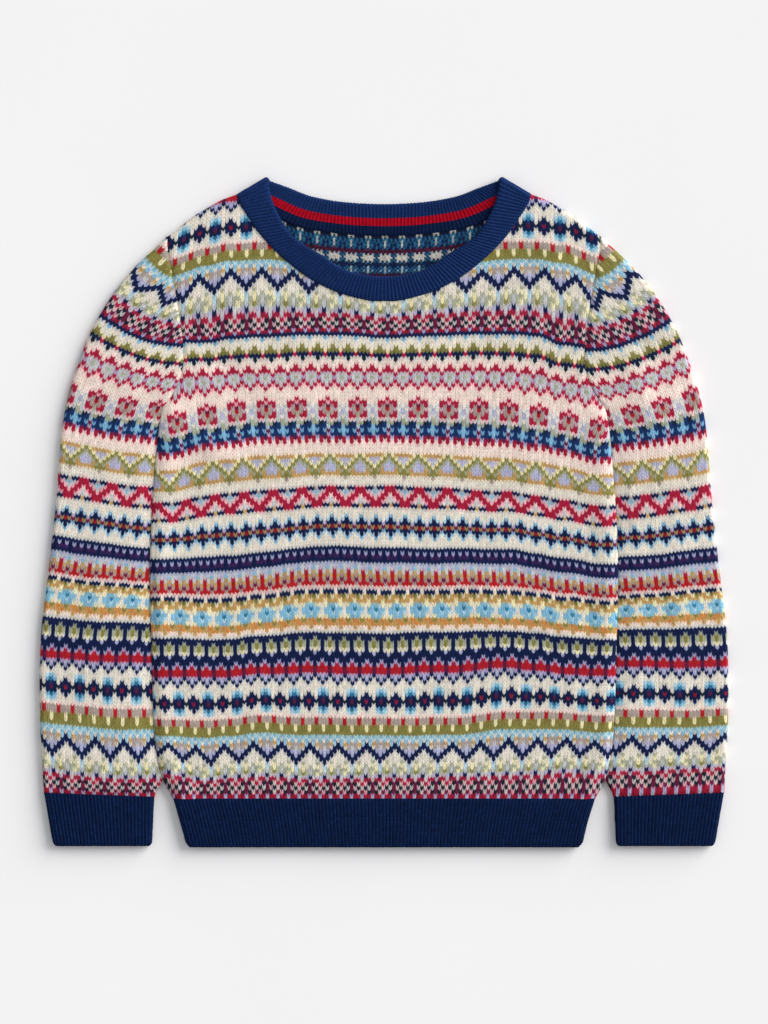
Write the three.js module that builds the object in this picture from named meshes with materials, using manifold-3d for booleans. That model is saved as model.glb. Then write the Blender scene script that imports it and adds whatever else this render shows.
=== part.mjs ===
// Fair isle jumper, child's size, laid flat with its front up.
// Millimetres, +Z up. X runs across the garment, Y from hem to neck, and Z = 0 is the surface it lies on.
// The back pieces lie on Z = 0 and the front pieces lie on them. The seams and folds at the sides and
// shoulders are rounded down to the middle plane, where the two layers meet.

import * as THREE from "three";
import { mergeVertices } from "three/addons/utils/BufferGeometryUtils.js";
import Module from "manifold-3d";

const wasm = await Module();
wasm.setup();

// ---- Driving dimensions ----

const WALL = 3.0;              // stranded two-colour knit
const LAY = 0.4;               // air between two layers that lie on each other
const SEAM = 0.3;              // gap between pieces that are joined by a seam
const RIB_WALL = 3.2;          // rib of the hem and the cuffs
const BAND_WALL = 3.6;         // rib of the neckband
const ROLL_RISE = 0.8;         // how much the front layer lifts beside a rounded edge
const ROLL_REACH = 26;         // how far from the edge that lift is gone
const NECKBAND_LIFT = 1.6;     // how much the neckband's free edge stands up at the front

const UNDERARM_Y = 76.5;
const SHOULDER_TIP_Y = 205.5;
const HEM_SEAM_Y = -214.5;
const HEM_EDGE_Y = -251.5;
const SLEEVE_FREE_Y = -171;    // below this the sleeve's inner edge hangs straight, clear of the body

const PANEL_HALF = 174.4;      // half width that the points across a panel are spaced for
const LEAST_EDGE = 0.12;       // share of the full height that is left at a rounded edge
const SEWN_BELOW = 4;          // the side fold changes into the armhole seam from this far below the
const SEWN_ABOVE = 8;          // underarm to this far above it
const HEM_ROWS = [0, 0.35, 0.7, 1];
const HEAD_OVERLAP = 2;        // the sleeve's head is made this much too long, then trimmed to the seam
const HEAD_CROWDING = 1.15;    // above 1, the sleeve's sections are closer together at the head
const HEAD_CURVE = 0.34;       // share of the sleeve over which its sections lose the armhole's curve
const FOLDS_FROM = 0.02;       // shares of the sleeve over which its folds grow from the head
const FOLDS_FULL = 0.14;
const FOLDS_END = 0.1;         // and die out at the cuff
const BAND_ROUND = 0.25;       // rounding of the neckband's edges, as a share of its thickness
const MERGE = 1e-4;

const FRONT_COLUMNS = 12;      // divisions across a panel, without its rounded edges
const BACK_COLUMNS = 8;
const BODY_ROWS = 11;          // divisions of a panel from the hem seam to the underarm
const ARMHOLE_ROWS = 13;       // and from the underarm to the shoulder
const EDGE_STEPS = 3;          // facets in a quarter-round edge
const SLEEVE_STATIONS = 19;
const TUBE_COLUMNS = 6;        // divisions across one layer of a sleeve or cuff
const CUFF_STATIONS = 3;
const BAND_FRONT_STATIONS = 26;
const BAND_BACK_STATIONS = 16;
const BAND_FOLD_STEPS = 4;

// Half the body's width, from the hem seam up to the shoulder tip.
const BODY_SIDE = [
  { y: -214.5, half: 158.6 },
  { y: -200, half: 166.3 },
  { y: -171, half: 171.9 },
  { y: -110, half: 174.4 },
  { y: -36, half: 175.7 },
  { y: 31.5, half: 172.0 },
  { y: 76.5, half: 166.7 },
  { y: 88, half: 159.9 },
  { y: 106.5, half: 152.4 },
  { y: 124.5, half: 151.7 },
  { y: 157.5, half: 156.2 },
  { y: 199.5, half: 163.7 },
  { y: 205.5, half: 163.7 },
];

const HEM_SIDE = [
  { y: -251.5, half: 148.4 },
  { y: -240, half: 151.0 },
  { y: -214.8, half: 158.4 },
];

// The shoulder line, from the neck out to the tip.
const SHOULDER = [
  { x: 0, y: 238.5 },
  { x: 110.4, y: 238.5 },
  { x: 122.4, y: 234.0 },
  { x: 141.9, y: 222.8 },
  { x: 163.7, y: 205.5 },
];

// Sleeve sections from the armhole to the cuff, on the +X side: the outer fold and the height of the
// inner seam that each section runs to.
const SLEEVE = [
  { along: 0.0, outX: 163.7, outY: 205.5, inY: 76.0 },
  { along: 0.1, outX: 192.2, outY: 177.8, inY: 72.0 },
  { along: 0.2, outX: 215.4, outY: 144.0, inY: 67.0 },
  { along: 0.3, outX: 229.7, outY: 110.3, inY: 58.0 },
  { along: 0.4, outX: 240.4, outY: 71.0, inY: 40.0 },
  { along: 0.52, outX: 245.6, outY: 12.0, inY: -8.0 },
  { along: 0.64, outX: 251.4, outY: -42.0, inY: -56.0 },
  { along: 0.76, outX: 257.2, outY: -92.0, inY: -101.0 },
  { along: 0.88, outX: 258.2, outY: -148.0, inY: -153.0 },
  { along: 1.0, outX: 255.2, outY: -210.0, inY: -213.0 },
];

const CUFF = { topOutX: 254.9, topOutY: -210.3, topInX: 172.6, topInY: -213.3,
  endOutX: 248.1, endInX: 174.2, endY: -250.6 };

// The neckband, from the shoulder fold to the middle, on the -X side.
const NECK_FOLD = { seamX: -110.4, seamY: 238.5, freeX: -87.7, freeY: 252 };
const NECK_FRONT = [
  { seamX: -108.4, seamY: 233.2, freeX: -85.8, freeY: 242.0 },
  { seamX: -102.9, seamY: 223.9, freeX: -81.2, freeY: 227.3 },
  { seamX: -87.6, seamY: 202.8, freeX: -68.6, freeY: 207.0 },
  { seamX: -63.4, seamY: 181.0, freeX: -46.8, freeY: 192.6 },
  { seamX: -38.8, seamY: 167.0, freeX: -29.6, freeY: 181.6 },
  { seamX: -13.3, seamY: 159.6, freeX: -10.1, freeY: 177.2 },
];
const NECK_BACK = [
  { seamX: -92.0, seamY: 227.0, freeX: -70.6, freeY: 243.2 },
  { seamX: -64.0, seamY: 214.6, freeX: -54.0, freeY: 237.0 },
  { seamX: -30.0, seamY: 209.2, freeX: -30.0, freeY: 232.8 },
];
const NECK_MIDDLE = { frontSeamY: 158.9, frontFreeY: 176.7, backSeamY: 207.8, backFreeY: 231.3 };

// The largest soft folds of the front layer, on both sides: middle, direction, and size.
const FOLDS = [
  { x: 128, y: 58, turn: 32, long: 74, wide: 11, high: 1.5 },
  { x: -132, y: 50, turn: 146, long: 66, wide: 10, high: 1.3 },
  { x: -146, y: -92, turn: 86, long: 120, wide: 12, high: 1.1 },
  { x: 143, y: -118, turn: 95, long: 96, wide: 13, high: 1.0 },
  { x: 196, y: 84, turn: 118, long: 80, wide: 12, high: 1.6 },
  { x: -194, y: 92, turn: 60, long: 84, wide: 11, high: 1.4 },
  { x: 222, y: -60, turn: 92, long: 110, wide: 13, high: 1.2 },
  { x: -216, y: -84, turn: 87, long: 120, wide: 14, high: 1.3 },
];

const COLOUR = {
  frontKnit: 0xc9b9b3,
  backKnit: 0xbfaeaa,
  sleeveKnit: 0xc4b5b2,
  rib: 0x10204a,
  neckRib: 0x1d3468,
};

const MID = WALL + LAY / 2;              // the plane where front and back layers meet
const TOP = 2 * WALL + LAY;              // top of the two knit layers
const BAND_MID = BAND_WALL + LAY / 2;
const RIB_MID = RIB_WALL + LAY / 2;

// ---- Curves and profiles ----

// A smooth function through the rows of a table, by the names of its two columns.
function smooth(rows, from, to) {
  const slope = rows.map((row, i) => {
    const before = rows[Math.max(i - 1, 0)];
    const after = rows[Math.min(i + 1, rows.length - 1)];
    return (after[to] - before[to]) / (after[from] - before[from]);
  });
  return (at) => {
    let i = 0;
    while (i < rows.length - 2 && at > rows[i + 1][from]) i += 1;
    const span = rows[i + 1][from] - rows[i][from];
    const t = THREE.MathUtils.clamp((at - rows[i][from]) / span, 0, 1);
    const t2 = t * t;
    const t3 = t2 * t;
    return (2 * t3 - 3 * t2 + 1) * rows[i][to] + (t3 - 2 * t2 + t) * span * slope[i]
      + (3 * t2 - 2 * t3) * rows[i + 1][to] + (t3 - t2) * span * slope[i + 1];
  };
}

// A straight-line function through the rows of a table.
function linear(rows, from, to) {
  return (at) => {
    let i = 0;
    while (i < rows.length - 2 && at > rows[i + 1][from]) i += 1;
    const t = (at - rows[i][from]) / (rows[i + 1][from] - rows[i][from]);
    return THREE.MathUtils.lerp(rows[i][to], rows[i + 1][to], THREE.MathUtils.clamp(t, 0, 1));
  };
}

const bodyHalf = smooth(BODY_SIDE, "y", "half");
const hemHalf = smooth(HEM_SIDE, "y", "half");
const shoulderY = linear(SHOULDER, "x", "y");

// Height share, 0 to 1, of a quarter-round edge at a distance in from it.
function quarterRound(inset, radius) {
  const short = Math.max(1 - inset / radius, 0);
  return Math.sqrt(1 - short * short);
}

// Lift of the front layer beside a rounded edge, where the fold keeps it off the back layer.
function rollLift(inset, clear) {
  const t = (inset - clear) / (ROLL_REACH - clear);
  return t > 0 && t < 1 ? ROLL_RISE * Math.sin(Math.PI * Math.sqrt(t)) ** 2 : 0;
}

function foldLift(x, y) {
  return FOLDS.reduce((sum, fold) => {
    const turn = THREE.MathUtils.degToRad(fold.turn);
    const along = (x - fold.x) * Math.cos(turn) + (y - fold.y) * Math.sin(turn);
    const across = (y - fold.y) * Math.cos(turn) - (x - fold.x) * Math.sin(turn);
    const shape = Math.exp(-((across / fold.wide) ** 2) - (2 * along / fold.long) ** 2);
    return sum + fold.high * shape;
  }, 0);
}

// Distances in from an edge where a quarter-round needs points, and the last of them is its radius.
function edgeInsets(radius) {
  const steps = [];
  for (let k = 0; k <= EDGE_STEPS; k += 1) {
    steps.push(radius * (1 - Math.cos((k / EDGE_STEPS) * Math.PI / 2)));
  }
  return steps;
}

// Places from -1 to 1 across a piece of a given half width, closer together at both edges.
function acrossPlaces(half, radius, columns) {
  const edge = edgeInsets(radius).map((inset) => 1 - inset / half);
  const inner = edge[edge.length - 1];
  const places = edge.slice(0, -1).map((place) => -place);
  for (let k = 0; k <= columns; k += 1) places.push(inner * (2 * k / columns - 1));
  return places.concat(edge.slice(0, -1).reverse());
}

// ---- Closed solids ----

// A geometry from points and triangles, with its faces turned outwards.
function solidGeometry(points, triangles) {
  let volume = 0;
  triangles.forEach(([a, b, c]) => {
    volume += points[a].dot(new THREE.Vector3().crossVectors(points[b], points[c]));
  });
  const outward = volume > 0 ? triangles : triangles.map(([a, b, c]) => [a, c, b]);
  const geometry = new THREE.BufferGeometry();
  geometry.setAttribute("position", new THREE.Float32BufferAttribute(points.flatMap((p) => p.toArray()), 3));
  geometry.setIndex(outward.flat());
  return geometry;
}

// One layer of cloth: an upper and a lower grid of points, closed by a wall all round.
function layerSolid(upper, lower) {
  const rows = upper.length;
  const columns = upper[0].length;
  const points = [...upper.flat(), ...lower.flat()];
  const over = (j, i) => j * columns + i;
  const under = (j, i) => rows * columns + j * columns + i;
  const triangles = [];
  for (let j = 0; j < rows - 1; j += 1) {
    for (let i = 0; i < columns - 1; i += 1) {
      triangles.push([over(j, i), over(j, i + 1), over(j + 1, i + 1)]);
      triangles.push([over(j, i), over(j + 1, i + 1), over(j + 1, i)]);
      triangles.push([under(j, i), under(j + 1, i + 1), under(j, i + 1)]);
      triangles.push([under(j, i), under(j + 1, i), under(j + 1, i + 1)]);
    }
  }
  const border = [];
  for (let i = 0; i < columns - 1; i += 1) border.push([0, i]);
  for (let j = 0; j < rows - 1; j += 1) border.push([j, columns - 1]);
  for (let i = columns - 1; i > 0; i -= 1) border.push([rows - 1, i]);
  for (let j = rows - 1; j > 0; j -= 1) border.push([j, 0]);
  border.forEach(([j, i], k) => {
    const [nextJ, nextI] = border[(k + 1) % border.length];
    triangles.push([over(j, i), under(j, i), under(nextJ, nextI)]);
    triangles.push([over(j, i), under(nextJ, nextI), over(nextJ, nextI)]);
  });
  return solidGeometry(points, triangles);
}

// A flattened tube of cloth: outer and inner rings at each station, open at both ends.
function tubeSolid(outer, inner) {
  const stations = outer.length;
  const around = outer[0].length;
  const points = [...outer.flat(), ...inner.flat()];
  const out = (j, i) => j * around + (i % around);
  const within = (j, i) => stations * around + j * around + (i % around);
  const triangles = [];
  const quad = (a, b, c, d) => triangles.push([a, b, c], [a, c, d]);
  for (let j = 0; j < stations - 1; j += 1) {
    for (let i = 0; i < around; i += 1) {
      quad(out(j, i), out(j, i + 1), out(j + 1, i + 1), out(j + 1, i));
      quad(within(j, i), within(j + 1, i), within(j + 1, i + 1), within(j, i + 1));
    }
  }
  const last = stations - 1;
  for (let i = 0; i < around; i += 1) {
    quad(out(0, i), within(0, i), within(0, i + 1), out(0, i + 1));
    quad(out(last, i), out(last, i + 1), within(last, i + 1), within(last, i));
  }
  return solidGeometry(points, triangles);
}

// A band that closes on itself, from a loop of closed sections.
function loopSolid(sections) {
  const stations = sections.length;
  const around = sections[0].length;
  const at = (j, i) => (j % stations) * around + (i % around);
  const triangles = [];
  for (let j = 0; j < stations; j += 1) {
    for (let i = 0; i < around; i += 1) {
      triangles.push([at(j, i), at(j, i + 1), at(j + 1, i + 1)], [at(j, i), at(j + 1, i + 1), at(j + 1, i)]);
    }
  }
  return solidGeometry(sections.flat(), triangles);
}

// ---- Cutting ----

function toManifold(geometry) {
  const bare = geometry.clone();
  bare.deleteAttribute("normal");
  bare.deleteAttribute("uv");
  const merged = mergeVertices(bare, MERGE);
  return new wasm.Manifold(new wasm.Mesh({
    numProp: 3,
    vertProperties: Float32Array.from(merged.attributes.position.array),
    triVerts: Uint32Array.from(merged.index.array),
  }));
}

function cutAway(geometry, cutter) {
  const mesh = toManifold(geometry).subtract(toManifold(cutter)).getMesh();
  const result = new THREE.BufferGeometry();
  result.setAttribute("position", new THREE.Float32BufferAttribute(mesh.vertProperties, 3));
  result.setIndex(Array.from(mesh.triVerts));
  return result;
}

// A tall prism over an outline in X and Y, to cut straight down through the layers.
function prism(outline) {
  const depth = 4 * TOP;
  const geometry = new THREE.ExtrudeGeometry(new THREE.Shape(outline), { depth, bevelEnabled: false });
  geometry.translate(0, 0, -depth / 2);
  return geometry;
}

// ---- Neckband ----

const NECK_FOLD_OUT = new THREE.Vector2(NECK_FOLD.seamY - NECK_FOLD.freeY,
  NECK_FOLD.freeX - NECK_FOLD.seamX).normalize();
const FOLD_RADIUS = (BAND_WALL + LAY) / 2;

// The line that the band turns over at the -X shoulder, drawn in from the garment's outline.
function foldAxis(name) {
  const drawIn = FOLD_RADIUS + BAND_WALL / 2;
  return new THREE.Vector2(NECK_FOLD[`${name}X`], NECK_FOLD[`${name}Y`])
    .addScaledVector(NECK_FOLD_OUT, -drawIn);
}

// One edge of the band, from the -X fold across the middle to the +X fold.
function bandEdge(rows, name, middleY) {
  const half = [foldAxis(name), ...rows.map((row) => new THREE.Vector2(row[`${name}X`], row[`${name}Y`]))];
  const mirrored = half.map((p) => new THREE.Vector2(-p.x, p.y)).reverse();
  return new THREE.SplineCurve([...half, new THREE.Vector2(0, middleY), ...mirrored]);
}

const BAND_EDGES = {
  frontSeam: bandEdge(NECK_FRONT, "seam", NECK_MIDDLE.frontSeamY),
  frontFree: bandEdge(NECK_FRONT, "free", NECK_MIDDLE.frontFreeY),
  backSeam: bandEdge(NECK_BACK, "seam", NECK_MIDDLE.backSeamY),
  backFree: bandEdge(NECK_BACK, "free", NECK_MIDDLE.backFreeY),
};

// The section of the band at one place: a rounded bar from its seam edge to its free edge.
function bandSection(seam, free, normal) {
  const across = free.clone().sub(seam);
  const round = BAND_WALL * BAND_ROUND / across.length();
  const side = 0.5 - BAND_ROUND;
  const outline = [
    { at: 0, up: -side }, { at: round, up: -0.5 }, { at: 0.5, up: -0.5 }, { at: 1 - round, up: -0.5 },
    { at: 1, up: -side }, { at: 1, up: side }, { at: 1 - round, up: 0.5 }, { at: 0.5, up: 0.5 },
    { at: round, up: 0.5 }, { at: 0, up: side },
  ];
  return outline.map(({ at, up }) => seam.clone().addScaledVector(across, at)
    .addScaledVector(normal, up * BAND_WALL));
}

function bandGeometry() {
  const frontZ = BAND_MID + FOLD_RADIUS;
  const backZ = BAND_MID - FOLD_RADIUS;
  const up = new THREE.Vector3(0, 0, 1);
  const sections = [];
  const lay = (seamCurve, freeCurve, t, z, lift, normal) => {
    const seam = seamCurve.getPoint(t);
    const free = freeCurve.getPoint(t);
    const clear = free.clone().sub(seam).setLength(SEAM);
    seam.add(clear);
    sections.push(bandSection(new THREE.Vector3(seam.x, seam.y, z),
      new THREE.Vector3(free.x, free.y, z + lift), normal));
  };
  const turnOver = (side) => {
    const out = new THREE.Vector3(side * -NECK_FOLD_OUT.x, NECK_FOLD_OUT.y, 0);
    const seam = BAND_EDGES.frontSeam.getPoint(side < 0 ? 0 : 1);
    const free = BAND_EDGES.frontFree.getPoint(side < 0 ? 0 : 1);
    seam.add(free.clone().sub(seam).setLength(SEAM));
    for (let k = 1; k < BAND_FOLD_STEPS; k += 1) {
      const share = k / BAND_FOLD_STEPS;
      const turn = Math.PI * (side > 0 ? share : 1 - share);
      const normal = out.clone().multiplyScalar(Math.sin(turn)).addScaledVector(up, Math.cos(turn));
      const shift = normal.clone().multiplyScalar(FOLD_RADIUS);
      sections.push(bandSection(new THREE.Vector3(seam.x, seam.y, BAND_MID).add(shift),
        new THREE.Vector3(free.x, free.y, BAND_MID).add(shift), normal));
    }
  };
  for (let k = 0; k <= BAND_FRONT_STATIONS; k += 1) {
    const t = k / BAND_FRONT_STATIONS;
    lay(BAND_EDGES.frontSeam, BAND_EDGES.frontFree, t, frontZ, NECKBAND_LIFT * Math.sin(Math.PI * t), up);
  }
  turnOver(1);
  for (let k = 0; k <= BAND_BACK_STATIONS; k += 1) {
    lay(BAND_EDGES.backSeam, BAND_EDGES.backFree, 1 - k / BAND_BACK_STATIONS, backZ, 0,
      up.clone().negate());
  }
  turnOver(-1);
  return loopSolid(sections);
}

// The neck hole of a panel: everything inside the band's seam, out past the shoulders.
function neckCutter(curve, stations) {
  const outline = [];
  for (let k = 0; k <= stations; k += 1) outline.push(curve.getPoint(k / stations));
  const reach = FOLD_RADIUS + BAND_WALL / 2 + SEAM;
  const beside = new THREE.Vector2(NECK_FOLD.seamX, NECK_FOLD.seamY).sub(foldAxis("seam"))
    .setLength(reach).add(foldAxis("seam"));
  const above = NECK_FOLD.freeY + TOP;
  outline.push(new THREE.Vector2(-beside.x, beside.y), new THREE.Vector2(-beside.x, above));
  outline.push(new THREE.Vector2(beside.x, above), beside);
  return prism(outline);
}

// ---- Body ----

// Heights of the points up a panel's side edge, closer together along the armhole and at the shoulder.
function sideHeights() {
  const heights = [];
  const last = SHOULDER_TIP_Y - 2 * MID;
  for (let j = 0; j < BODY_ROWS; j += 1) {
    heights.push(THREE.MathUtils.lerp(HEM_SEAM_Y, UNDERARM_Y, j / BODY_ROWS));
  }
  for (let j = 0; j <= ARMHOLE_ROWS; j += 1) {
    heights.push(THREE.MathUtils.lerp(UNDERARM_Y, last, j / ARMHOLE_ROWS));
  }
  edgeInsets(MID).reverse().forEach((inset) => heights.push(SHOULDER_TIP_Y - inset));
  return heights;
}

// A panel from the hem seam to the shoulders. The front one lies on the back one, and its edge is
// rounded down to the middle plane along the sides and the shoulders, but not along the armholes.
function panelGeometry(isFront) {
  const radius = MID;
  const places = acrossPlaces(PANEL_HALF, radius, isFront ? FRONT_COLUMNS : BACK_COLUMNS);
  const upper = [];
  const lower = [];
  sideHeights().forEach((sideY) => {
    const share = (sideY - HEM_SEAM_Y) / (SHOULDER_TIP_Y - HEM_SEAM_Y);
    const upperRow = [];
    const lowerRow = [];
    places.forEach((place) => {
      const endY = shoulderY(Math.abs(place) * bodyHalf(SHOULDER_TIP_Y));
      const y = THREE.MathUtils.lerp(HEM_SEAM_Y, endY, share);
      const half = bodyHalf(y);
      const inset = (1 - Math.abs(place)) * half;
      const sewn = THREE.MathUtils.smoothstep(y, UNDERARM_Y - SEWN_BELOW, UNDERARM_Y + SEWN_ABOVE);
      const side = THREE.MathUtils.lerp(quarterRound(inset, radius), 1, sewn);
      const shoulder = quarterRound(endY - y, radius);
      const round = Math.min(side, shoulder);
      const x = place * half;
      const outside = SEAM / 2 + (MID - SEAM / 2) * Math.max(round, LEAST_EDGE);
      if (isFront) {
        const roll = rollLift(inset, WALL) * (1 - sewn) + foldLift(x, y) * Math.min(inset / ROLL_REACH, 1);
        upperRow.push(new THREE.Vector3(x, y, MID + outside + roll));
        lowerRow.push(new THREE.Vector3(x, y, MID + LAY / 2 + roll));
      } else {
        upperRow.push(new THREE.Vector3(x, y, MID - LAY / 2));
        lowerRow.push(new THREE.Vector3(x, y, MID - outside));
      }
    });
    upper.push(upperRow);
    lower.push(lowerRow);
  });
  const curve = isFront ? BAND_EDGES.frontSeam : BAND_EDGES.backSeam;
  const stations = isFront ? BAND_FRONT_STATIONS : BAND_BACK_STATIONS;
  return cutAway(layerSolid(upper, lower), neckCutter(curve, stations));
}

function hemGeometry(isFront) {
  const places = acrossPlaces(HEM_SIDE[1].half, RIB_MID, isFront ? FRONT_COLUMNS : BACK_COLUMNS);
  const top = HEM_SEAM_Y - SEAM;
  const rows = HEM_ROWS.map((share) => THREE.MathUtils.lerp(top, HEM_EDGE_Y, share)).reverse();
  const grid = (height) => rows.map((y) => places.map((place) => {
    const half = hemHalf(y);
    const round = Math.max(quarterRound((1 - Math.abs(place)) * half, RIB_MID), LEAST_EDGE);
    return new THREE.Vector3(place * half, y, height(round));
  }));
  const outside = (round) => SEAM / 2 + (RIB_MID - SEAM / 2) * round;
  if (isFront) return layerSolid(grid((round) => RIB_MID + outside(round)), grid(() => RIB_MID + LAY / 2));
  return layerSolid(grid(() => RIB_MID - LAY / 2), grid((round) => RIB_MID - outside(round)));
}

// ---- Sleeves and cuffs ----

// The outer or inner ring of a flattened tube between two points, given its half height.
function flatRing(from, to, inset, halfHeight, middle, bow, lift) {
  const chord = to.clone().sub(from);
  const length = chord.length();
  const ring = [];
  const layer = (sign) => {
    const row = [];
    for (let k = 0; k < EDGE_STEPS; k += 1) {
      const turn = (k / EDGE_STEPS) * Math.PI / 2;
      row.push([inset + halfHeight * (1 - Math.cos(turn)), Math.sin(turn)]);
    }
    for (let k = 0; k <= TUBE_COLUMNS; k += 1) {
      const start = inset + halfHeight;
      row.push([start + (length - 2 * start) * (k / TUBE_COLUMNS), 1]);
    }
    for (let k = EDGE_STEPS - 1; k > 0; k -= 1) {
      const turn = (k / EDGE_STEPS) * Math.PI / 2;
      row.push([length - inset - halfHeight * (1 - Math.cos(turn)), Math.sin(turn)]);
    }
    row.push([length - inset, 0]);
    return row.map(([distance, rise]) => {
      const t = distance / length;
      const p = from.clone().addScaledVector(chord, t).add(bow(t));
      const lifted = sign > 0 ? lift(p.x, p.y) * Math.sin(Math.PI * t) * rise : 0;
      return new THREE.Vector3(p.x, p.y, middle + sign * rise * halfHeight + lifted);
    });
  };
  const over = layer(1);
  const under = layer(-1).slice(1, -1).reverse();
  ring.push(...over, ...under);
  return ring;
}

const sleeveOutX = smooth(SLEEVE, "along", "outX");
const sleeveOutY = smooth(SLEEVE, "along", "outY");
const sleeveInY = smooth(SLEEVE, "along", "inY");

function sleeveInX(y) {
  return bodyHalf(THREE.MathUtils.clamp(y, SLEEVE_FREE_Y, UNDERARM_Y)) + SEAM;
}

// How far the armhole seam swings away from the straight line between its two ends.
function armholeBow(t) {
  const y = THREE.MathUtils.lerp(SHOULDER_TIP_Y, UNDERARM_Y, t);
  const straight = THREE.MathUtils.lerp(bodyHalf(SHOULDER_TIP_Y), bodyHalf(UNDERARM_Y), t);
  return bodyHalf(y) - straight;
}

function sleeveGeometry(side) {
  const outer = [];
  const inner = [];
  for (let j = 0; j < SLEEVE_STATIONS; j += 1) {
    const along = (j / (SLEEVE_STATIONS - 1)) ** HEAD_CROWDING;
    const inY = sleeveInY(along);
    const outX = sleeveOutX(along) - (j === 0 ? HEAD_OVERLAP : 0);
    const inX = sleeveInX(inY) + (j === 0 ? SEAM : 0);
    const from = new THREE.Vector2(side * outX, sleeveOutY(along));
    const to = new THREE.Vector2(side * inX, inY);
    const fade = Math.max(1 - along / HEAD_CURVE, 0) ** 2;
    const bow = (t) => new THREE.Vector2(side * armholeBow(t) * fade, 0);
    const liftFade = THREE.MathUtils.smoothstep(along, FOLDS_FROM, FOLDS_FULL)
      * THREE.MathUtils.smoothstep(1 - along, 0, FOLDS_END);
    const lift = (x, y) => foldLift(x, y) * liftFade;
    outer.push(flatRing(from, to, 0, MID, MID, bow, lift));
    inner.push(flatRing(from, to, WALL, LAY / 2, MID, bow, lift));
  }
  return cutAway(tubeSolid(outer, inner), armholeCutter(side));
}

// The body above the underarm, with the seam gap round it, to trim the sleeve's head.
function armholeCutter(side) {
  const outline = [new THREE.Vector2(0, UNDERARM_Y)];
  sideHeights().filter((y) => y >= UNDERARM_Y).forEach((y) => {
    outline.push(new THREE.Vector2(side * (bodyHalf(y) + SEAM), y));
  });
  outline.push(new THREE.Vector2(side * (bodyHalf(SHOULDER_TIP_Y) + SEAM), SHOULDER_TIP_Y + TOP));
  outline.push(new THREE.Vector2(0, SHOULDER_TIP_Y + TOP));
  return prism(outline);
}

function cuffGeometry(side) {
  const outer = [];
  const inner = [];
  const straight = () => new THREE.Vector2(0, 0);
  const flat = () => 0;
  for (let j = 0; j < CUFF_STATIONS; j += 1) {
    const t = j / (CUFF_STATIONS - 1);
    const from = new THREE.Vector2(side * THREE.MathUtils.lerp(CUFF.topOutX, CUFF.endOutX, t),
      THREE.MathUtils.lerp(CUFF.topOutY, CUFF.endY, t));
    const to = new THREE.Vector2(side * THREE.MathUtils.lerp(CUFF.topInX, CUFF.endInX, t),
      THREE.MathUtils.lerp(CUFF.topInY, CUFF.endY, t));
    outer.push(flatRing(from, to, 0, RIB_MID, RIB_MID, straight, flat));
    inner.push(flatRing(from, to, RIB_WALL, LAY / 2, RIB_MID, straight, flat));
  }
  return tubeSolid(outer, inner);
}

// ---- The garment ----

function cloth(name, geometry, colour) {
  const material = new THREE.MeshStandardMaterial({ color: colour, roughness: 0.95, metalness: 0 });
  const mesh = new THREE.Mesh(geometry, material);
  mesh.name = name;
  return mesh;
}

const jumper = new THREE.Group();
jumper.add(cloth("back_panel", panelGeometry(false), COLOUR.backKnit));
jumper.add(cloth("front_panel", panelGeometry(true), COLOUR.frontKnit));
jumper.add(cloth("hem_rib_back", hemGeometry(false), COLOUR.rib));
jumper.add(cloth("hem_rib_front", hemGeometry(true), COLOUR.rib));
jumper.add(cloth("neckband", bandGeometry(), COLOUR.neckRib));
[["right", -1], ["left", 1]].forEach(([name, side]) => {
  jumper.add(cloth(`sleeve_${name}`, sleeveGeometry(side), COLOUR.sleeveKnit));
  jumper.add(cloth(`cuff_${name}`, cuffGeometry(side), COLOUR.rib));
});

export default jumper;
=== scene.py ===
"""A child's fair isle jumper, laid flat with its front up.

The knitted pieces are built stitch by stitch: every stitch is a V of two raised legs, and its yarn comes
from the band charts. The ribs of the hem, cuffs and neckband are raised ribs. Sizes in this file are in
millimetres unless a property says otherwise; X runs across the garment, Y from hem to neck, Z up.
"""

import math

import bpy
import numpy as np
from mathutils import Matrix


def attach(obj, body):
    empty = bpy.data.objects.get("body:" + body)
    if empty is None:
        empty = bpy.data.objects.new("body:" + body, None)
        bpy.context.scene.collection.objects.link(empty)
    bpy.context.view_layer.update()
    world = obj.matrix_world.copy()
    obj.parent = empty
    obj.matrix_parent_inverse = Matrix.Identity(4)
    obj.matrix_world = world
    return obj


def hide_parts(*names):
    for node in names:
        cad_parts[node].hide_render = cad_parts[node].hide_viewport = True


bl_info = {
    "name": "Fair Isle Jumper",
    "version": (1, 0, 0),
    "blender": (4, 5, 0),
    "location": "View3D > Sidebar > Jumper",
    "description": "Builds a flat-laid fair isle jumper stitch by stitch",
    "category": "Object",
}

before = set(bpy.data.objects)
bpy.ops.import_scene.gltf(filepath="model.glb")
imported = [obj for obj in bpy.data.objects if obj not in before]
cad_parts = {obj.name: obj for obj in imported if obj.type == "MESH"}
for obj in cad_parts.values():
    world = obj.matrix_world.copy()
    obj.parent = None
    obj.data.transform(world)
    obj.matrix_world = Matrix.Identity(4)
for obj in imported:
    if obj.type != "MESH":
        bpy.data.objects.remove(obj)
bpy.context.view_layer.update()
MM = 0.001
LEAST_QUAD = 0.01  # square millimetres


# ---- the cut

UNDERARM_Y = 76.5
HEM_SEAM_Y = -214.5
HEM_EDGE_Y = -251.5
SLEEVE_FREE_Y = -199

BODY_SIDE = [
    (-214.5, 158.6), (-200, 166.3), (-171, 171.9), (-110, 174.4), (-36, 175.7), (31.5, 172),
    (76.5, 166.7), (88, 159.9), (106.5, 152.4), (124.5, 151.7), (157.5, 156.2), (199.5, 163.7),
    (205.5, 163.7),
]
HEM_SIDE = [(-251.5, 148.4), (-240, 151), (-214.8, 158.4)]
SHOULDER = [(0, 238.5), (110.4, 238.5), (122.4, 234), (141.9, 222.8), (163.7, 205.5)]

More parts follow.
